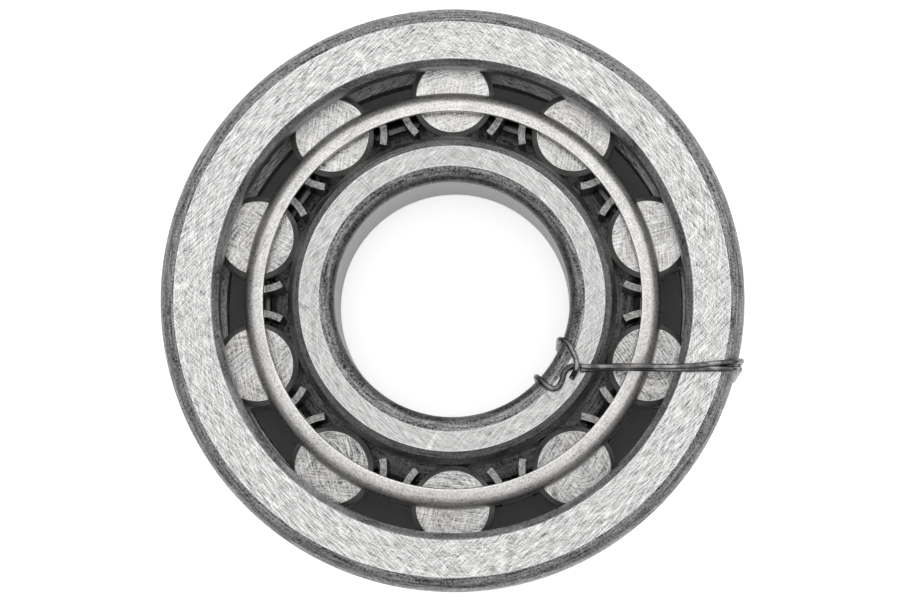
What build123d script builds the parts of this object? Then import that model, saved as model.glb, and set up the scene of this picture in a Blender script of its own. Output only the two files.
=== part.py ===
from build123d import *
import math
import os

# Cylindrical roller bearing, 25 x 62 x 17 mm, ten rollers, one-piece pressed cage.
# Millimetres.  Z is the bearing axis; the origin is the centre of the back face (z = 0),
# the front face is at z = 17.  One roller stands at the top (+Y).

# ---- driving dimensions -------------------------------------------------------------

bore_d = 25.0              # shaft bore
outside_d = 62.0           # housing seat
width = 17.0               # both rings

# outer ring
outer_corner_r = 1.5       # rounded outside corners
rib_bore_d = 49.6          # bore of the two ribs
rib_chamfer = 0.7          # chamfer from the side face into each rib bore
rib_width = 4.0            # axial width of each rib
outer_raceway_d = 53.0
relief_width = 0.7         # grinding relief at the foot of each rib
relief_depth = 0.25

# inner ring
bore_corner_r = 1.6        # rounded bore corners
inner_raceway_d = 35.0
inner_rib_d = 38.8         # single rib, at the back only
inner_rib_width = 4.0
inner_rib_edge = 0.5
inner_face_r = 16.23       # outer edge of the narrow front face
lead_r = 16.95             # where the face chamfer meets the roller lead-in
lead_z = 16.28
lead_foot_z = 14.6         # where the lead-in meets the raceway

# rollers
roller_count = 10
pitch_d = 44.0
roller_d = 8.97
roller_length = 8.90
roller_chamfer = 0.58      # 45 degree corner chamfer, both ends
roller_chamfer_edge = 0.12 # rolled edges of the chamfers
roller_crown_length = 1.0  # slight relief of the rolling surface towards each end
roller_crown_drop = 0.01

# cage
cage_outside_d = 44.6
cage_sheet = 0.8
cage_rim_inner_d = 40.2
cage_bend_r = 2.0          # outer radius of the turned-in rims
cage_front_z = 15.2
cage_back_z = 1.8
window_half_width = 5.2
window_front_z = 13.15
window_back_z = 3.85
window_corner_r = 0.8
lip_inner_r = 5.20         # measured from the roller's own axis
lip_outer_r = 5.92
lip_end_angle = 46.0       # below the tangential direction
lip_front_z = 12.7
lip_back_z = 4.3

os.makedirs("parts", exist_ok=True)

# ---- outer ring ---------------------------------------------------------------------

outer_r = outside_d / 2
rib_r = rib_bore_d / 2
race_r = outer_raceway_d / 2
front_rib_z = width - rib_width

with BuildPart() as outer_ring:
    with BuildSketch(Plane.XZ) as outer_section:
        with BuildLine():
            Polyline(
                (rib_r + rib_chamfer, 0),
                (outer_r, 0),
                (outer_r, width),
                (rib_r + rib_chamfer, width),
                (rib_r, width - rib_chamfer),
                (rib_r, front_rib_z),
                (race_r + relief_depth, front_rib_z),
                (race_r + relief_depth, front_rib_z - 0.35 * relief_width),
                (race_r, front_rib_z - relief_width),
                (race_r, rib_width + relief_width),
                (race_r + relief_depth, rib_width + 0.35 * relief_width),
                (race_r + relief_depth, rib_width),
                (rib_r, rib_width),
                (rib_r, rib_chamfer),
                close=True,
            )
        make_face()
        fillet(outer_section.vertices().group_by(Axis.X)[-1], outer_corner_r)
    revolve(axis=Axis.Z)
    # the chamfers meet the side faces and the rib bores over a small rolled edge
    soft_edges = [
        e
        for e in outer_ring.edges().filter_by(GeomType.CIRCLE)
        if abs(e.radius - (rib_r + rib_chamfer)) < 0.01
    ]
    fillet(soft_edges, 0.15)
outer_ring.part.label = "outer_ring"
export_step(outer_ring.part, "parts/outer_ring.step")

# ---- inner ring ---------------------------------------------------------------------

bore_r = bore_d / 2
inner_race_r = inner_raceway_d / 2
inner_rib_r = inner_rib_d / 2

with BuildPart() as inner_ring:
    with BuildSketch(Plane.XZ) as inner_section:
        with BuildLine():
            Polyline(
                (bore_r, 0),
                (inner_rib_r - inner_rib_edge, 0),
                (inner_rib_r, inner_rib_edge),
                (inner_rib_r, inner_rib_width),
                (inner_race_r - relief_depth, inner_rib_width),
                (inner_race_r - relief_depth, inner_rib_width + 0.35 * relief_width),
                (inner_race_r, inner_rib_width + relief_width),
                (inner_race_r, lead_foot_z),
                (lead_r, lead_z),
                (inner_face_r, width),
                (bore_r, width),
                close=True,
            )
        make_face()
        fillet(inner_section.vertices().group_by(Axis.X)[0], bore_corner_r)
    revolve(axis=Axis.Z)
    fillet(
        [
            e
            for e in inner_ring.edges().filter_by(GeomType.CIRCLE)
            if abs(e.radius - lead_r) < 0.01
        ],
        0.25,
    )
inner_ring.part.label = "inner_ring"
export_step(inner_ring.part, "parts/inner_ring.step")

# ---- rollers ------------------------------------------------------------------------

pitch_r = pitch_d / 2
roller_r = roller_d / 2
roller_back_z = width / 2 - roller_length / 2
roller_front_z = width / 2 + roller_length / 2

for k in range(roller_count):
    angle = math.radians(90 + k * 360 / roller_count)
    axis_x = pitch_r * math.cos(angle)
    axis_y = pitch_r * math.sin(angle)
    roller_frame = Plane(
        origin=(axis_x, axis_y, 0),
        x_dir=(math.cos(angle), math.sin(angle), 0),
        z_dir=(math.sin(angle), -math.cos(angle), 0),
    )
    with BuildPart() as roller:
        # half section through the roller's own axis
        with BuildSketch(roller_frame) as roller_section:
            with BuildLine():
                Polyline(
                    (0, roller_back_z),
                    (roller_r - roller_crown_drop, roller_back_z),
                    (roller_r, roller_back_z + roller_crown_length),
                    (roller_r, roller_front_z - roller_crown_length),
                    (roller_r - roller_crown_drop, roller_front_z),
                    (0, roller_front_z),
                    close=True,
                )
            make_face()
            end_corners = [
                v
                for v in roller_section.vertices()
                if abs(v.X - (roller_r - roller_crown_drop)) < 0.002
            ]
            chamfer(end_corners, roller_chamfer)
            chamfer_corners = [
                v
                for v in roller_section.vertices()
                if v.X > roller_r - 0.75
                and abs(v.Y - width / 2) > roller_length / 2 - 0.75
            ]
            fillet(chamfer_corners, roller_chamfer_edge)
        revolve(axis=Axis((axis_x, axis_y, 0), (0, 0, 1)))
    name = f"roller_{k + 1:02d}"
    roller.part.label = name
    export_step(roller.part, f"parts/{name}.step")

# ---- cage ---------------------------------------------------------------------------

shell_r = cage_outside_d / 2
shell_in = shell_r - cage_sheet
rim_r = cage_rim_inner_d / 2
bend_in = cage_bend_r - cage_sheet
bend_c = shell_r - cage_bend_r
front_c = cage_front_z - cage_bend_r
back_c = cage_back_z + cage_bend_r

# a retaining lip: a curved tongue concentric with the roller, turned in from the window
# edge towards the bearing axis
with BuildPart() as lip_pair:
    with BuildSketch(Plane.XY.offset(lip_back_z)) as lip_section:
        with BuildLine():
            right_outer = CenterArc((0, pitch_r), lip_outer_r, 8, -8 - lip_end_angle)
            right_inner = CenterArc((0, pitch_r), lip_inner_r, 8, -8 - lip_end_angle)
            Line(right_outer @ 0, right_inner @ 0)
            Line(right_outer @ 1, right_inner @ 1)
        make_face()
        mirror(about=Plane.YZ)
        Circle(shell_r - 0.05, mode=Mode.INTERSECT)
    extrude(amount=lip_front_z - lip_back_z)

with BuildPart() as cage:
    with BuildSketch(Plane.XZ) as cage_section:
        with BuildLine():
            Line((rim_r, cage_front_z), (bend_c, cage_front_z))
            CenterArc((bend_c, front_c), cage_bend_r, 90, -90)
            Line((shell_r, front_c), (shell_r, back_c))
            CenterArc((bend_c, back_c), cage_bend_r, 0, -90)
            Line((bend_c, cage_back_z), (rim_r, cage_back_z))
            Line((rim_r, cage_back_z), (rim_r, cage_back_z + cage_sheet))
            Line((rim_r, cage_back_z + cage_sheet), (bend_c, cage_back_z + cage_sheet))
            CenterArc((bend_c, back_c), bend_in, -90, 90)
            Line((shell_in, back_c), (shell_in, front_c))
            CenterArc((bend_c, front_c), bend_in, 0, 90)
            Line((bend_c, cage_front_z - cage_sheet), (rim_r, cage_front_z - cage_sheet))
            Line((rim_r, cage_front_z - cage_sheet), (rim_r, cage_front_z))
        make_face()
        # slightly rolled edges on the sheared rims
        rim_corners = [v for v in cage_section.vertices() if abs(v.X - rim_r) < 0.001]
        fillet(rim_corners, 0.15)
    revolve(axis=Axis.Z)
    # roller windows, cut radially outwards
    with BuildSketch(Plane.XZ.offset(-(shell_in - 0.6))) as window_section:
        with Locations((0, (window_front_z + window_back_z) / 2)):
            RectangleRounded(
                2 * window_half_width, window_front_z - window_back_z, window_corner_r
            )
    window_tool = extrude(amount=-(cage_sheet + 1.2), mode=Mode.PRIVATE)
    with PolarLocations(0, roller_count):
        add(window_tool, mode=Mode.SUBTRACT)
    with PolarLocations(0, roller_count):
        add(lip_pair.part)
cage.part.label = "cage"
export_step(cage.part, "parts/cage.step")
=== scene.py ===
import math

import bpy
import numpy as np
from mathutils import Matrix, Vector


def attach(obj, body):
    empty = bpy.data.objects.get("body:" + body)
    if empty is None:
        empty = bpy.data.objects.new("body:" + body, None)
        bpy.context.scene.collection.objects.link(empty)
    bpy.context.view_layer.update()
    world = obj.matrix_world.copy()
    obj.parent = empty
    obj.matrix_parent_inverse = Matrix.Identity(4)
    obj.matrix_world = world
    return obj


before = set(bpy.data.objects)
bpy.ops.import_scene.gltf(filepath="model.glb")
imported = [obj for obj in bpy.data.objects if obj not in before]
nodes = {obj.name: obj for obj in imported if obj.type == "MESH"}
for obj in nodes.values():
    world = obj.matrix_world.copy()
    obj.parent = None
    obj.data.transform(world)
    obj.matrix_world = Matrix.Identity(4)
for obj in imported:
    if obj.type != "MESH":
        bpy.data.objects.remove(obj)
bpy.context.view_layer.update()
MM = 0.001

scene = bpy.context.scene
scene.view_settings.view_transform = "Standard"
scene.view_settings.look = "None"

# ---------------------------------------------------------------------------------------
# camera: a long lens, a few degrees off the bearing's axis, level with the +Y direction
# ---------------------------------------------------------------------------------------

face = Vector((0.0, 0.0, 0.017))
to_camera = Vector((0.0231, -0.0732, 1.0)).normalized()
eye = face + to_camera * 0.4385
aim = Vector((-0.190, -0.196, 17.0)) * MM
forward = (aim - eye).normalized()
right = forward.cross(Vector((0, 1, 0))).normalized()
upward = right.cross(forward)
turn = Matrix((right, upward, -forward)).transposed()
lens = bpy.data.cameras.new("camera")
lens.lens = 165.9
lens.sensor_width = 36.0
lens.clip_start = 0.01
lens.clip_end = 50.0
camera = bpy.data.objects.new("camera", lens)
camera.matrix_world = Matrix.Translation(eye) @ turn.to_4x4()
scene.collection.objects.link(camera)
scene.camera = camera

# ---------------------------------------------------------------------------------------
# helpers for writing node expressions
# ---------------------------------------------------------------------------------------


class Graph:
    """One material's nodes, written as expressions."""

    def __init__(self, tree):
        self.tree = tree

    def make(self, kind, **settings):
        node = self.tree.nodes.new(kind)
        for key, value in settings.items():
            setattr(node, key, value)
        return node

    def put(self, socket, value):
        if isinstance(value, bpy.types.NodeSocket):
            self.tree.links.new(value, socket)
        else:
            socket.default_value = value

    def math(self, op, a, b=None, c=None, clamp=False):
        node = self.make("ShaderNodeMath", operation=op, use_clamp=clamp)
        self.put(node.inputs[0], a)
        if b is not None:
            self.put(node.inputs[1], b)
        if c is not None:
            self.put(node.inputs[2], c)
        return node.outputs[0]

    def add(self, a, b):
        return self.math("ADD", a, b)

    def sub(self, a, b):
        return self.math("SUBTRACT", a, b)

    def mul(self, a, b):
        return self.math("MULTIPLY", a, b)

    def both(self, a, b):
        return self.math("MULTIPLY", a, b)

    def either(self, a, b):
        return self.math("MAXIMUM", a, b)

    def flip(self, a):
        return self.math("SUBTRACT", 1.0, a)

    def ramp(self, x, low, high, out_low=0.0, out_high=1.0, smooth=True):
        node = self.make(
            "ShaderNodeMapRange",
            interpolation_type="SMOOTHSTEP" if smooth else "LINEAR",
            clamp=True,
        ) if smooth else self.make("ShaderNodeMapRange", clamp=True)
        self.put(node.inputs["Value"], x)
        node.inputs["From Min"].default_value = low
        node.inputs["From Max"].default_value = high
        node.inputs["To Min"].default_value = out_low
        node.inputs["To Max"].default_value = out_high
        return node.outputs["Result"]

    def band(self, x, low, high, soft):
        return self.both(
            self.ramp(x, low - soft, low + soft), self.ramp(x, high - soft, high + soft, 1.0, 0.0)
        )

    def vector(self, x, y, z):
        node = self.make("ShaderNodeCombineXYZ")
        for socket, value in zip(node.inputs, (x, y, z)):
            self.put(socket, value)
        return node.outputs[0]

    def split(self, v):
        node = self.make("ShaderNodeSeparateXYZ")
        self.put(node.inputs[0], v)
        return node.outputs

    def vmath(self, op, a, b=None, scale=None):
        node = self.make("ShaderNodeVectorMath", operation=op)
        self.put(node.inputs[0], a)
        if b is not None:
            self.put(node.inputs[1], b)
        if scale is not None:
            self.put(node.inputs["Scale"], scale)
        return node.outputs["Value" if op in ("LENGTH", "DOT_PRODUCT", "DISTANCE") else "Vector"]

    def noise(self, v, scale, detail=2.0, rough=0.5, distortion=0.0):
        node = self.make("ShaderNodeTexNoise", noise_dimensions="3D")
        self.put(node.inputs["Vector"], v)
        node.inputs["Scale"].default_value = scale
        node.inputs["Detail"].default_value = detail
        node.inputs["Roughness"].default_value = rough
        node.inputs["Distortion"].default_value = distortion
        return node.outputs["Fac"]

    def cells(self, v, scale, random=1.0):
        node = self.make("ShaderNodeTexVoronoi", feature="F1", voronoi_dimensions="3D")
        self.put(node.inputs["Vector"], v)
        node.inputs["Scale"].default_value = scale
        node.inputs["Randomness"].default_value = random
        return node.outputs["Distance"], node.outputs["Color"]

    def mix(self, factor, a, b):
        node = self.make("ShaderNodeMix", data_type="FLOAT", clamp_factor=True)
        self.put(node.inputs[0], factor)
        self.put(node.inputs[2], a)
        self.put(node.inputs[3], b)
        return node.outputs[0]

    def blend(self, factor, a, b, how="MIX"):
        node = self.make("ShaderNodeMix", data_type="RGBA", blend_type=how, clamp_factor=True)
        self.put(node.inputs[0], factor)
        self.put(node.inputs[6], a)
        self.put(node.inputs[7], b)
        return node.outputs[2]

    def grey(self, value, tint=(1.0, 1.0, 1.0)):
        """A colour of this brightness and tint."""
        node = self.make("ShaderNodeCombineColor")
        for socket, t in zip(node.inputs, tint):
            self.put(socket, self.math("MULTIPLY", value, t, clamp=True))
        return node.outputs[0]

    def tilt_z(self, v, angle):
        node = self.make("ShaderNodeVectorRotate", rotation_type="Z_AXIS")
        self.put(node.inputs["Vector"], v)
        self.put(node.inputs["Angle"], angle)
        return node.outputs[0]


def material(name):
    m = bpy.data.materials.new(name)
    m.use_nodes = True
    m.node_tree.nodes.clear()
    g = Graph(m.node_tree)
    out = g.make("ShaderNodeOutputMaterial")
    p = g.make("ShaderNodeBsdfPrincipled")
    m.node_tree.links.new(p.outputs[0], out.inputs["Surface"])
    p.inputs["Metallic"].default_value = 1.0
    return m, g, p


def finish(g, p, colour, rough, height, bump=0.35, distance=0.00002):
    g.put(p.inputs["Base Color"], colour)
    g.put(p.inputs["Roughness"], rough)
    b = g.make("ShaderNodeBump")
    b.inputs["Strength"].default_value = bump
    b.inputs["Distance"].default_value = distance
    g.put(b.inputs["Height"], height)
    g.put(p.inputs["Normal"], b.outputs[0])


def polar(g, centre=(0.0, 0.0)):
    """Position in mm, its flat part from the axis, the radius and the height."""
    coords = g.make("ShaderNodeTexCoord").outputs["Object"]
    mm = g.vmath("SCALE", coords, scale=1000.0)
    mm = g.vmath("SUBTRACT", mm, (centre[0], centre[1], 0.0))
    x, y, z = g.split(mm)
    flat = g.vector(x, y, 0.0)
    return mm, flat, g.vmath("LENGTH", flat), z


def arcs(g, flat, radius, lean, ring_r, across, along, seed):
    """Noise drawn out along arcs on a ring's face, leaning this many degrees from the radius.

    across and along are in features per mm, measured across and along the strokes.
    """
    k = math.tan(math.radians(lean))
    c = abs(math.cos(math.radians(lean)))
    spin = g.mul(g.math("LOGARITHM", g.math("DIVIDE", g.math("MAXIMUM", radius, 0.05), ring_r), math.e), -k)
    turned = g.vmath("NORMALIZE", g.tilt_z(flat, spin))
    even = g.vmath("SCALE", turned, scale=ring_r * across * c)
    x, y, _ = g.split(even)
    return g.vector(x, y, g.add(g.mul(radius, along / c), seed))


def straight(g, mm, angle, across, along, seed):
    """Coordinates drawn out along one straight direction, in degrees from +X."""
    a = math.radians(angle)
    u = g.vmath("DOT_PRODUCT", mm, (math.cos(a), math.sin(a), 0.0))
    v = g.vmath("DOT_PRODUCT", mm, (-math.sin(a), math.cos(a), 0.0))
    return g.vector(g.mul(u, along), g.mul(v, across), seed)


def lines(g, noise, middle=0.5, width=0.02):
    """Thin lines where the noise crosses this value."""
    gap = g.math("ABSOLUTE", g.sub(noise, middle))
    return g.ramp(gap, 0.0, width, 1.0, 0.0)


def centred(g, noise, gain):
    return g.mul(g.sub(noise, 0.5), gain)


# ---------------------------------------------------------------------------------------
# ring steel: ground faces with crossing arcs, ground cylinders, and darker unground corners
# ---------------------------------------------------------------------------------------


def ring_steel(name, ring_r, faces, cylinders, sides, edges, lifts, seed, bright=0.66, dark=0.20, depth=0.88):
    """faces: (r, r, which side) ground flat; cylinders: (r, r, z, z, tone) ground round;
    sides: (r, r, z) ground shoulders inside the ring; lifts: (r, r, z, z, amount) paler corners."""
    m, g, p = material(name)
    mm, flat, radius, z = polar(g)
    x, y, _ = g.split(mm)

    # where the surface is ground
    ends = g.either(g.ramp(z, 16.972, 16.988), g.ramp(z, 0.012, 0.028, 1.0, 0.0))
    face_zone = None
    for low, high, side in faces:
        zone = g.both(g.band(radius, low, high, 0.02), ends)
        if side:
            zone = g.both(zone, g.ramp(z, 8.0, 9.0, *((0.0, 1.0) if side > 0 else (1.0, 0.0))))
        face_zone = zone if face_zone is None else g.either(face_zone, zone)
    painted_shade_shoulder = 0.0
    for low, high, level in sides:
        zone = g.both(g.band(radius, low, high, 0.02), g.band(z, level - 0.02, level + 0.02, 0.01))
        face_zone = g.either(face_zone, zone)
        painted_shade_shoulder = g.either(painted_shade_shoulder, zone)
    tube_zone = None
    tube_base = None
    for r_low, r_high, z_low, z_high, tube_level in cylinders:
        zone = g.both(g.band(radius, r_low, r_high, 0.008), g.band(z, z_low, z_high, 0.06))
        level = g.mul(zone, tube_level)
        tube_zone = zone if tube_zone is None else g.either(tube_zone, zone)
        tube_base = level if tube_base is None else g.either(tube_base, level)
    ground = g.either(face_zone, tube_zone)

    # grinding strokes on the side faces: short arcs near the round direction that lean one
    # way in two quadrants and the other way in the other two, with a finer cross-hatch
    twice = g.math("DIVIDE", g.mul(g.mul(x, y), 2.0), g.math("MAXIMUM", g.mul(radius, radius), 1.0))
    patch = g.noise(mm, 0.16, 2.0, 0.5)
    patch2 = g.noise(g.vmath("ADD", mm, (seed, 4.0, 9.0)), 0.33, 2.0, 0.5)
    quarter = g.add(twice, centred(g, patch2, 1.6))
    fore = g.ramp(quarter, -0.7, 0.6, 0.22, 1.0)
    back = g.ramp(quarter, -0.6, 0.7, 1.0, 0.22)
    a1 = g.noise(arcs(g, flat, radius, 78, ring_r, 7.4, 0.85, seed), 1.0, 0.6, 0.5)
    a2 = g.noise(arcs(g, flat, radius, -76, ring_r, 7.4, 0.85, seed + 7), 1.0, 0.6, 0.5)
    a3 = g.noise(straight(g, mm, 134, 7.0, 0.78, seed + 13), 1.0, 0.6, 0.5)
    a4 = g.noise(straight(g, mm, 45, 7.0, 0.78, seed + 19), 1.0, 0.6, 0.5)
    a5 = g.noise(arcs(g, flat, radius, 60, ring_r, 6.2, 0.50, seed + 23), 1.0, 0.6, 0.5)
    fine = g.noise(mm, 6.0, 1.0, 0.6)
    marks = g.add(
        g.add(g.mul(centred(g, a1, 0.95), fore), g.mul(centred(g, a2, 0.75), back)),
        g.add(
            g.add(g.mul(centred(g, a3, 1.15), fore), g.mul(centred(g, a4, 1.35), back)),
            g.add(centred(g, a5, 0.40), centred(g, fine, 0.80)),
        ),
    )

    # long single scratches, and nicks
    bend = g.vmath("ADD", mm, g.vmath("SCALE", g.vector(g.noise(mm, 0.09, 1.0), g.noise(flat, 0.11, 1.0), 0.0), scale=5.0))
    s1 = lines(g, g.noise(straight(g, bend, 38 + seed, 0.55, 0.05, seed), 1.0, 1.0, 0.4), 0.5, 0.013)
    s2 = lines(g, g.noise(straight(g, bend, 129 + seed, 0.42, 0.045, seed + 3), 1.0, 1.0, 0.4), 0.52, 0.011)
    s3 = lines(g, g.noise(straight(g, bend, 83 + seed, 0.36, 0.06, seed + 5), 1.0, 1.0, 0.4), 0.48, 0.010)
    gate = g.noise(mm, 0.33, 1.0)
    gate2 = g.noise(g.vmath("ADD", mm, (31.0, seed, 5.0)), 0.4, 1.0)
    light_scratch = g.either(g.both(s1, g.ramp(gate, 0.50, 0.60)), g.both(s3, g.ramp(gate2, 0.55, 0.64)))
    dark_scratch = g.both(s2, g.ramp(gate2, 0.54, 0.62))
    near, shade = g.cells(mm, 0.36)
    nick = g.both(g.ramp(near, 0.018, 0.045, 1.0, 0.0), g.ramp(g.split(shade)[0], 0.70, 0.74))
    near2, shade2 = g.cells(g.vmath("MULTIPLY", mm, (1.0, 1.35, 1.0)), 1.05)
    pit = g.both(g.ramp(near2, 0.04, 0.10, 1.0, 0.0), g.ramp(g.split(shade2)[1], 0.80, 0.84))

    # ground cylinders: fine rings around the axis
    round_a = g.noise(g.vector(g.mul(x, 0.05), g.mul(y, 0.05), g.mul(z, 6.0)), 1.0, 3.0, 0.6)
    round_b = g.noise(g.vector(g.mul(x, 0.25), g.mul(y, 0.25), g.mul(z, 2.2)), 1.0, 2.0, 0.5)
    tube_marks = g.add(centred(g, round_a, 0.8), g.add(centred(g, round_b, 0.5), centred(g, fine, 0.25)))

    # unground corners: turned rings, scale from hardening, pale rubbed streaks and spots
    slant = g.add(g.mul(radius, 5.0), g.mul(z, -3.3))
    turned = g.noise(g.vector(g.mul(x, 0.24), g.mul(y, 0.24), slant), 1.0, 2.5, 0.65)
    scale_a = g.noise(mm, 0.9, 3.0, 0.6)
    scale_b = g.noise(mm, 4.6, 2.0, 0.7)
    streak = lines(g, g.noise(g.vector(g.mul(x, 0.45), g.mul(y, 0.45), g.mul(slant, 0.55)), 1.0, 1.0, 0.5), 0.5, 0.035)
    streak = g.both(streak, g.ramp(g.noise(mm, 0.8, 1.0), 0.50, 0.60))
    rub, rub_tone = g.cells(g.vmath("MULTIPLY", mm, (1.0, 1.0, 1.6)), 0.75)
    rubbed = g.both(g.ramp(rub, 0.06, 0.24, 1.0, 0.0), g.ramp(g.split(rub_tone)[1], 0.78, 0.84))
    corner = g.add(
        g.add(centred(g, turned, 0.85), centred(g, scale_a, 0.16)),
        g.add(centred(g, scale_b, 0.95), g.add(g.mul(rubbed, 0.13), g.mul(streak, 0.16))),
    )
    base = dark
    for r_low, r_high, z_low, z_high, amount in lifts:
        zone = g.both(g.band(radius, r_low, r_high, 0.02), g.band(z, z_low, z_high, 0.02))
        base = g.add(base, g.mul(zone, amount))

    # polished edges where the ground faces end
    edge_line = None
    for r_edge in edges:
        line = g.both(g.band(radius, r_edge - 0.05, r_edge + 0.05, 0.02), ends)
        edge_line = line if edge_line is None else g.either(edge_line, line)

    face_tone = g.add(bright, g.add(g.mul(marks, depth), centred(g, patch, 0.04)))
    face_tone = g.add(
        face_tone,
        g.sub(g.mul(light_scratch, 0.20), g.add(g.mul(dark_scratch, 0.18), g.add(g.mul(nick, 0.42), g.mul(pit, 0.26)))),
    )
    face_tone = g.add(face_tone, g.mul(edge_line, 0.10))
    # painted shade: the shoulders inside the ring are darkened to 0.74 of the face tone, for the shade in that recess
    face_tone = g.mul(face_tone, g.ramp(painted_shade_shoulder, 0.0, 1.0, 1.0, 0.74))
    tube_tone = g.add(tube_base, g.mul(tube_marks, 0.34))
    dark_tone = g.add(base, corner)
    tone = g.mix(tube_zone, g.mix(face_zone, dark_tone, face_tone), tube_tone)
    tone = g.math("MINIMUM", g.math("MAXIMUM", tone, 0.035), 0.97)

    colour = g.blend(ground, g.grey(tone, (0.985, 0.98, 0.99)), g.grey(tone, (1.0, 0.995, 0.99)))
    rough = g.mix(
        tube_zone,
        g.mix(face_zone, g.add(0.44, centred(g, scale_b, 0.25)), g.add(0.32, g.mul(marks, 0.20))),
        g.add(0.20, g.mul(tube_marks, 0.12)),
    )
    height = g.mix(
        tube_zone,
        g.mix(
            face_zone,
            g.add(g.mul(scale_b, 1.2), g.mul(turned, 1.0)),
            g.sub(g.mul(marks, 1.6), g.add(nick, g.mul(dark_scratch, 0.5))),
        ),
        g.mul(tube_marks, 0.35),
    )
    finish(g, p, colour, rough, height, 0.35, 0.000025)
    return m


# ---------------------------------------------------------------------------------------
# rollers: ground ends, each with its own marks, and a polished barrel
# ---------------------------------------------------------------------------------------


def roller_steel(name, centre, k):
    m, g, p = material(name)
    mm, flat, radius, z = polar(g, centre)
    end_zone = g.both(
        g.ramp(radius, 3.87, 3.92, 1.0, 0.0),
        g.either(g.ramp(z, 12.915, 12.935), g.ramp(z, 4.065, 4.085, 1.0, 0.0)),
    )
    barrel = g.both(g.ramp(radius, 4.44, 4.46), g.band(z, 4.6, 12.4, 0.1))
    angle = 17.0 + 67.0 * k
    a1 = g.noise(straight(g, mm, angle, 6.2, 0.40, 3.0 * k), 1.0, 0.6, 0.5, 0.1)
    a2 = g.noise(straight(g, mm, angle + 62 + 9 * (k % 3), 5.8, 0.44, 3.0 * k + 5), 1.0, 0.6, 0.5, 0.1)
    a3 = g.noise(arcs(g, flat, radius, 62, 2.6, 4.6, 0.4, k + 40.0), 1.0, 0.6, 0.5)
    fine = g.noise(mm, 6.0, 1.0, 0.6)
    soft = g.noise(g.vmath("ADD", mm, (5.0 * k, 3.0, 1.0)), 0.45, 2.0, 0.5)
    marks = g.add(
        g.add(g.mul(centred(g, a1, 1.0), g.ramp(soft, 0.4, 0.6, 0.4, 1.1)), g.mul(centred(g, a2, 0.8), g.ramp(soft, 0.4, 0.6, 1.1, 0.3))),
        g.add(centred(g, a3, 0.6), centred(g, fine, 0.85)),
    )
    scratch = lines(g, g.noise(straight(g, mm, angle + 25, 0.9, 0.07, k + 9.0), 1.0, 1.0, 0.4), 0.5, 0.016)
    scratch = g.both(scratch, g.ramp(soft, 0.5, 0.58))
    round_a = g.noise(g.vector(g.mul(g.split(mm)[0], 0.3), g.mul(g.split(mm)[1], 0.3), g.mul(z, 7.0)), 1.0, 3.0, 0.6)
    turned = g.noise(g.vector(g.mul(g.split(mm)[0], 0.4), g.mul(g.split(mm)[1], 0.4), g.add(g.mul(radius, 4.0), g.mul(z, -4.0))), 1.0, 2.0, 0.6)
    rim = g.band(radius, 3.82, 3.90, 0.02)
    # a tone for each end, set one by one to how bright that end looks at rest: painted light, the brightness the light
    # gives each end across the ring, which travels with the roller; a tone for each end, as they look at rest; whether
    # the steel or the light differs isn't known
    painted_light_tone = (0.68, 0.60, 0.51, 0.50, 0.42, 0.46, 0.43, 0.45, 0.57, 0.57)[k]
    tone = g.add(painted_light_tone, g.add(g.mul(marks, 0.90), centred(g, soft, 0.14)))
    tone = g.add(tone, g.sub(g.mul(rim, 0.12), g.mul(scratch, 0.16)))
    # the turned corner chamfers are satin, the barrel is polished
    corner = g.add(0.44, g.add(centred(g, turned, 0.60), centred(g, fine, 0.45)))
    tone = g.mix(end_zone, corner, tone)
    tone = g.mix(barrel, tone, g.add(0.55, centred(g, round_a, 0.20)))
    tone = g.math("MINIMUM", g.math("MAXIMUM", tone, 0.035), 0.97)
    warm = g.ramp(soft, 0.42, 0.62)
    colour = g.blend(warm, g.grey(tone, (1.0, 0.985, 0.965)), g.grey(tone, (0.99, 0.99, 0.985)))
    rough = g.mix(end_zone, 0.50, g.add(0.25, g.mul(marks, 0.18)))
    rough = g.mix(barrel, rough, 0.16)
    height = g.mix(end_zone, g.mul(turned, 0.6), g.sub(g.mul(marks, 1.5), g.mul(scratch, 0.6)))
    finish(g, p, colour, rough, height, 0.30, 0.000025)
    return m


# ---------------------------------------------------------------------------------------
# cage: pressed sheet, satin and a little warm, speckled where it was drawn
# ---------------------------------------------------------------------------------------


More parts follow.
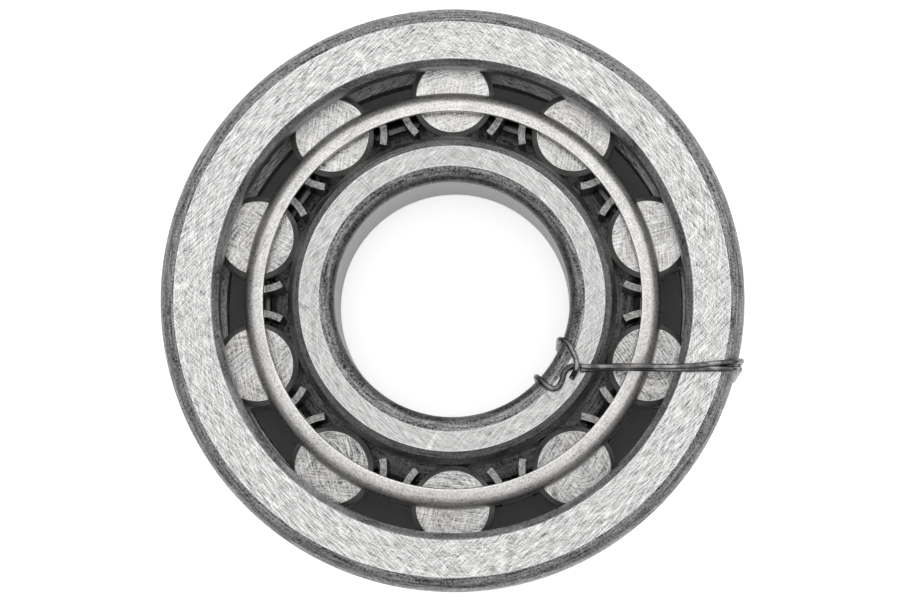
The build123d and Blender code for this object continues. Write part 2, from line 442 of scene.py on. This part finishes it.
def cage_steel(name):
    m, g, p = material(name)
    mm, flat, radius, z = polar(g)
    x, y, _ = g.split(mm)
    # distance along the rim's curve stands for both radius and height
    sweep = g.add(g.mul(radius, 3.6), g.mul(z, -2.6))
    drawn = g.noise(g.vector(g.mul(x, 0.30), g.mul(y, 0.30), sweep), 1.0, 2.5, 0.6)
    wide = g.noise(g.vector(g.mul(x, 0.12), g.mul(y, 0.12), g.mul(sweep, 0.35)), 1.0, 2.0, 0.5)
    speck = g.noise(mm, 4.6, 2.0, 0.72)
    blotch = g.noise(mm, 0.50, 3.0, 0.55)
    pit_d, pit_c = g.cells(mm, 1.7)
    pit = g.both(g.ramp(pit_d, 0.09, 0.22, 1.0, 0.0), g.ramp(g.split(pit_c)[0], 0.66, 0.72))
    bend = g.vmath("ADD", mm, g.vmath("SCALE", g.vector(g.noise(mm, 0.12, 1.0), g.noise(flat, 0.15, 1.0), 0.0), scale=4.0))
    scuff = g.both(
        lines(g, g.noise(straight(g, bend, 52, 0.9, 0.09, 2.0), 1.0, 1.0, 0.4), 0.5, 0.020),
        g.ramp(blotch, 0.48, 0.56),
    )
    # the drawn bend is rougher and pitted; a thin band at the rim's inner edge is made brighter, and the bend is
    # painted brighter as painted light where it turns away from the light overhead
    bent = g.ramp(radius, 20.9, 22.0)
    grain = g.add(g.add(centred(g, drawn, 0.55), centred(g, wide, 0.22)), g.add(centred(g, speck, 1.5), centred(g, blotch, 0.34)))
    grain = g.mul(grain, g.ramp(bent, 0.0, 1.0, 0.74, 2.1))
    tone = g.add(0.68, g.sub(grain, g.add(g.mul(pit, g.ramp(bent, 0.0, 1.0, 0.14, 0.46)), g.mul(scuff, 0.18))))
    # painted light: the outer bend is made brighter where it turns away from the light overhead
    tone = g.add(tone, g.add(g.mul(g.band(radius, 20.12, 20.32, 0.05), 0.10), g.mul(bent, 0.36)))
    # tongues and window edges are sheared, duller and cooler
    inside = g.ramp(radius, 20.0, 20.08, 1.0, 0.0)
    tone = g.mix(inside, tone, g.add(0.31, centred(g, speck, 1.1)))
    # painted shade: the whole cage is darkened with depth, down to 0.42 of its tone at the back, for the shade inside
    # the bearing
    tone = g.mul(tone, g.ramp(z, 7.0, 12.7, 0.42, 1.0, smooth=False))
    tone = g.math("MINIMUM", g.math("MAXIMUM", tone, 0.04), 0.95)
    warm = g.blend(inside, g.grey(tone, (1.0, 0.985, 0.965)), g.grey(tone, (1.0, 0.99, 0.975)))
    rough = g.add(0.34, g.add(centred(g, speck, 0.22), g.mul(pit, 0.15)))
    height = g.add(g.mul(speck, 1.1), g.sub(g.mul(drawn, 0.8), g.add(g.mul(pit, 0.9), g.mul(scuff, 0.4))))
    finish(g, p, warm, rough, height, 0.36, 0.00003)
    return m


def wire_steel(name):
    m, g, p = material(name)
    mm, flat, radius, z = polar(g)
    speck = g.noise(mm, 3.5, 3.0, 0.7)
    long_a = g.noise(g.vmath("MULTIPLY", mm, (0.35, 3.4, 3.4)), 1.0, 2.0, 0.6)
    rust = g.noise(mm, 0.8, 3.0, 0.6)
    # dark drawn wire, with paler patches along its length on every side
    patchy = g.ramp(g.noise(mm, 0.55, 2.0, 0.6), 0.40, 0.64)
    tone = g.add(0.10, g.add(centred(g, speck, 0.12), g.mul(g.ramp(long_a, 0.50, 0.66), 0.12)))
    tone = g.add(tone, g.mul(patchy, 0.22))
    tone = g.math("MINIMUM", g.math("MAXIMUM", tone, 0.03), 0.95)
    warm = g.ramp(rust, 0.52, 0.70)
    colour = g.blend(warm, g.grey(tone, (0.985, 0.97, 1.0)), g.grey(tone, (1.0, 0.94, 0.90)))
    rough = g.add(0.14, centred(g, speck, 0.16))
    finish(g, p, colour, rough, g.add(g.mul(speck, 0.6), g.mul(long_a, 0.6)), 0.20, 0.00003)
    return m


def paint(name, m):
    o = nodes[name]
    o.data.materials.clear()
    o.data.materials.append(m)
    for poly in o.data.polygons:
        poly.material_index = 0


paint(
    "outer_ring",
    ring_steel(
        "outer_ring_ground_steel",
        27.5,
        faces=[(25.56, 29.50, 0)],
        cylinders=[(30.95, 31.1, 1.5, 15.5, 0.58), (26.44, 26.6, 4.7, 12.3, 0.50)],
        sides=[(24.84, 26.72, 4.0), (24.84, 26.72, 13.0)],
        edges=[25.62, 29.44],
        lifts=[(24.75, 25.56, 16.25, 17.1, 0.12), (24.75, 25.56, -0.1, 0.75, 0.12), (24.74, 24.86, 13.1, 16.25, 0.08), (24.74, 24.86, 0.75, 3.9, 0.08), (30.1, 31.1, 15.4, 16.9, 0.07), (30.1, 31.1, 0.1, 1.6, 0.07)],
        seed=3.0,
        bright=0.62,
        dark=0.215,
    ),
)
paint(
    "inner_ring",
    ring_steel(
        "inner_ring_ground_steel",
        15.2,
        faces=[(14.10, 16.21, 1), (14.10, 18.88, -1)],
        cylinders=[(12.4, 12.52, 1.6, 15.4, 0.50), (17.44, 17.56, 4.7, 14.6, 0.50)],
        sides=[],
        edges=[14.16, 16.16],
        lifts=[(16.23, 16.90, 16.3, 17.1, 0.17), (16.9, 17.6, 14.0, 16.4, 0.05), (17.2, 19.5, 3.4, 4.3, 0.02), (14.0, 14.12, 16.9, 17.1, 0.05), (12.4, 13.4, 15.4, 16.9, 0.06)],
        seed=11.0,
        bright=0.56,
        depth=0.52,
    ),
)
paint("cage", cage_steel("cage_pressed_steel"))
for k in range(10):
    a = math.radians(90 + 36 * k)
    name = f"roller_{k + 1:02d}"
    paint(name, roller_steel(name + "_ground_steel", (22.0 * math.cos(a), 22.0 * math.sin(a)), k))

# ---------------------------------------------------------------------------------------
# tie wire: one soft wire taken twice around both rings, its ends twisted at the bore
# ---------------------------------------------------------------------------------------

WIRE_R = 0.31
LIFT = WIRE_R + 0.02


def around_outside(y_front, y_side, y_back, steps=6):
    """Over the outer corner, down the housing seat and round the back corner, to the back face."""
    points = []
    for i in range(steps + 1):
        phi = math.radians(90 * i / steps)
        r = 29.5 + (1.5 + LIFT) * math.sin(phi)
        points.append((r, y_front + (y_side - y_front) * i / steps, 15.5 + (1.5 + LIFT) * math.cos(phi)))
    for i in range(1, 6):
        t = i / 6
        points.append((31.0 + LIFT, y_side + (y_back - y_side) * t, 15.5 - 14.0 * t))
    for i in range(steps + 1):
        phi = math.radians(90 * i / steps)
        r = 29.5 + (1.5 + LIFT) * math.cos(phi)
        points.append((r, y_back, 1.5 - (1.5 + LIFT) * math.sin(phi)))
    return [(math.sqrt(r * r - y * y), y, z) for r, y, z in points]


def up_bore(angle_back, angle_front, steps=6):
    """Round the bore's back corner, up its wall and half way over the front corner."""
    points = []
    for i in range(steps + 1):
        phi = math.radians(90 * i / steps)
        points.append((14.1 - (1.6 + LIFT) * math.sin(phi), angle_back, 1.6 - (1.6 + LIFT) * math.cos(phi)))
    for i in range(1, 6):
        t = i / 6
        points.append((12.5 - LIFT, angle_back + (angle_front - angle_back) * t, 1.6 + 13.8 * t))
    for i in range(4):
        phi = math.radians(90 - 15 * i)
        points.append((14.1 - (1.6 + LIFT) * math.sin(phi), angle_front, 15.4 + (1.6 + LIFT) * math.cos(phi)))
    return [(r * math.cos(math.radians(a)), r * math.sin(math.radians(a)), z) for r, a, z in points]


top = 17.0 + LIFT
wire_points = (
    # one cut end, beside the twist on the inner ring's face, then out to the housing seat
    [(13.62, -7.62, top), (14.20, -7.58, top), (15.6, -7.52, top), (17.2, -7.45, top + 0.01), (19.5, -7.46, top + 0.02),
     (22.5, -7.55, top), (25.5, -7.55, top), (27.6, -7.52, top)]
    + around_outside(-7.52, -7.50, -7.9)
    + [(25.5, -8.3, -LIFT), (19.5, -9.0, -LIFT), (14.9, -9.4, -LIFT)]
    + up_bore(-42.0, -42.8)
    # out of the bore, round, and under the other end to become the upper strand
    + [(9.74, -9.06, 17.16), (10.14, -9.38, top - 0.03), (10.62, -9.62, top), (11.08, -9.54, top), (11.46, -9.12, top),
       (11.68, -8.60, top), (11.80, -8.04, top), (12.10, -7.60, top), (12.56, -7.32, top), (13.10, -7.20, top),
       (13.50, -7.22, top + 0.26), (13.95, -7.30, top + 0.52), (14.6, -7.34, top + 0.60), (15.8, -7.34, top + 0.60),
       (17.2, -7.28, top + 0.60), (19.5, -7.29, top + 0.58), (22.5, -7.33, top + 0.52), (25.0, -7.27, top + 0.36),
       (26.8, -7.08, top + 0.14), (28.0, -6.93, top + 0.02)]
    + around_outside(-6.89, -6.62, -7.1)
    + [(26.0, -6.8, -LIFT), (21.0, -6.2, -LIFT), (16.4, -5.6, -LIFT)]
    + up_bore(-21.6, -20.8)
    # out of the bore again, over the twist, and cut off just past it
    + [(12.38, -4.98, 17.18), (12.60, -5.36, top - 0.02), (12.84, -5.82, top + 0.06), (13.06, -6.36, top + 0.32),
       (13.18, -6.92, top + 0.66), (13.16, -7.42, top + 0.74), (13.00, -7.90, top + 0.42), (12.80, -8.26, top + 0.10),
       (12.64, -8.50, top + 0.02)]
)


def smooth_path(points, step=0.10):
    """Centripetal Catmull-Rom through the points, evenly spaced."""
    p = [np.array(q, float) for q in points]
    p = [2 * p[0] - p[1]] + p + [2 * p[-1] - p[-2]]
    dense = []
    for a, b, c, d in zip(p, p[1:], p[2:], p[3:]):
        t0 = 0.0
        t1 = t0 + max(np.linalg.norm(b - a), 1e-6) ** 0.5
        t2 = t1 + max(np.linalg.norm(c - b), 1e-6) ** 0.5
        t3 = t2 + max(np.linalg.norm(d - c), 1e-6) ** 0.5
        for t in np.linspace(t1, t2, max(4, int(np.linalg.norm(c - b) / 0.04)), endpoint=False):
            a1 = (t1 - t) / (t1 - t0) * a + (t - t0) / (t1 - t0) * b
            a2 = (t2 - t) / (t2 - t1) * b + (t - t1) / (t2 - t1) * c
            a3 = (t3 - t) / (t3 - t2) * c + (t - t2) / (t3 - t2) * d
            b1 = (t2 - t) / (t2 - t0) * a1 + (t - t0) / (t2 - t0) * a2
            b2 = (t3 - t) / (t3 - t1) * a2 + (t - t1) / (t3 - t1) * a3
            dense.append((t2 - t) / (t2 - t1) * b1 + (t - t1) / (t2 - t1) * b2)
    dense.append(p[-2])
    dense = np.array(dense)
    run = np.concatenate([[0], np.cumsum(np.linalg.norm(np.diff(dense, axis=0), axis=1))])
    n = int(run[-1] / step) + 1
    even = np.linspace(0, run[-1], n)
    return np.stack([np.interp(even, run, dense[:, i]) for i in range(3)], 1)


def tube(name, path, radius, sides=14):
    """A closed tube along the path, with softly rounded cut ends."""
    tangents = np.gradient(path, axis=0)
    tangents /= np.linalg.norm(tangents, axis=1)[:, None]
    normal = np.cross(tangents[0], [0.0, 0.0, 1.0])
    normal /= np.linalg.norm(normal)
    rings, centres = [], []
    for i, (c, t) in enumerate(zip(path, tangents)):
        normal = normal - t * np.dot(normal, t)
        normal /= np.linalg.norm(normal)
        side = np.cross(t, normal)
        rings.append((c, normal.copy(), side, radius))
    def capped(first, direction):
        c, n, s, r = first
        t = direction
        return [(c + t * r * 0.30, n, s, r * 0.55), (c + t * r * 0.22, n, s, r * 0.88)]
    start = capped(rings[0], -tangents[0])
    end = capped(rings[-1], tangents[-1])[::-1]
    rings = start + rings + end
    verts, faces = [], []
    for c, n, s, r in rings:
        for j in range(sides):
            a = 2 * math.pi * j / sides
            verts.append((c + r * (math.cos(a) * n + math.sin(a) * s)) * MM)
    for i in range(len(rings) - 1):
        for j in range(sides):
            a, b = i * sides + j, i * sides + (j + 1) % sides
            faces.append((a, b, b + sides, a + sides))
    faces.append(tuple(range(sides))[::-1])
    faces.append(tuple(range((len(rings) - 1) * sides, len(rings) * sides)))
    mesh = bpy.data.meshes.new(name)
    mesh.from_pydata([tuple(v) for v in verts], [], faces)
    mesh.update()
    for poly in mesh.polygons:
        poly.use_smooth = len(poly.vertices) == 4
    o = bpy.data.objects.new(name, mesh)
    scene.collection.objects.link(o)
    return o


tie_wire = tube("tie_wire", smooth_path(wire_points), WIRE_R)
tie_wire.data.materials.append(wire_steel("tie_wire_steel"))
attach(tie_wire, "outer_ring")

# ---------------------------------------------------------------------------------------
# floor and light
# ---------------------------------------------------------------------------------------

floor_z = -(2 * WIRE_R + 0.03) * MM
floor_mesh = bpy.data.meshes.new("floor")
half = 6.0
floor_mesh.from_pydata(
    [(-half, -half, floor_z), (half, -half, floor_z), (half, half, floor_z), (-half, half, floor_z)], [], [(0, 1, 2, 3)]
)
floor = bpy.data.objects.new("floor", floor_mesh)
scene.collection.objects.link(floor)
fm = bpy.data.materials.new("floor_paper")
fm.use_nodes = True
fp = fm.node_tree.nodes["Principled BSDF"]
fp.inputs["Roughness"].default_value = 0.9
fp.inputs["Specular IOR Level"].default_value = 0.1
# pale paper, painted darker where the bearing covers it: painted shadow under the bearing
fg = Graph(fm.node_tree)
_, _, floor_r, _ = polar(fg)
painted_shadow_zone = fg.band(floor_r, 13.6, 30.2, 0.5)
fg.put(fp.inputs["Base Color"], fg.grey(fg.mix(painted_shadow_zone, 0.93, 0.70)))
fp.inputs["Emission Color"].default_value = (1, 1, 1, 1)
# seen from the camera the paper also glows, except under the bearing: painted light that whitens the floor around the
# bearing and inside the bore
seen = fg.make("ShaderNodeLightPath").outputs["Is Camera Ray"]
fg.put(fp.inputs["Emission Strength"], fg.mul(seen, fg.mix(painted_shadow_zone, 0.50, 0.0)))
floor_mesh.materials.append(fm)

world = bpy.data.worlds.new("studio")
scene.world = world
world.use_nodes = True
wg = Graph(world.node_tree)
world.node_tree.nodes.clear()
wout = wg.make("ShaderNodeOutputWorld")
wdir = wg.make("ShaderNodeTexCoord").outputs["Generated"]
wx, wy, wz = wg.split(wg.vmath("NORMALIZE", wdir))
# what polished steel sees: a large soft light overhead, darker walls
shine = wg.ramp(wz, 0.18, 0.72, 0.16, 1.08)
lean = wg.add(wg.mul(wx, 0.10), wg.mul(wy, 0.34))
shine = wg.math("MAXIMUM", wg.add(shine, lean), 0.10)
# what the floor sees: the same light, stronger
fall = wg.ramp(wz, 0.25, 0.85, 0.20, 1.9)
path = wg.make("ShaderNodeLightPath")
level = wg.mix(path.outputs["Is Diffuse Ray"], shine, fall)
level = wg.mix(path.outputs["Is Camera Ray"], level, 1.0)
back = wg.make("ShaderNodeBackground")
back.inputs["Color"].default_value = (1.0, 0.998, 0.995, 1)
wg.put(back.inputs["Strength"], level)
world.node_tree.links.new(back.outputs[0], wout.inputs["Surface"])

# ---------------------------------------------------------------------------------------

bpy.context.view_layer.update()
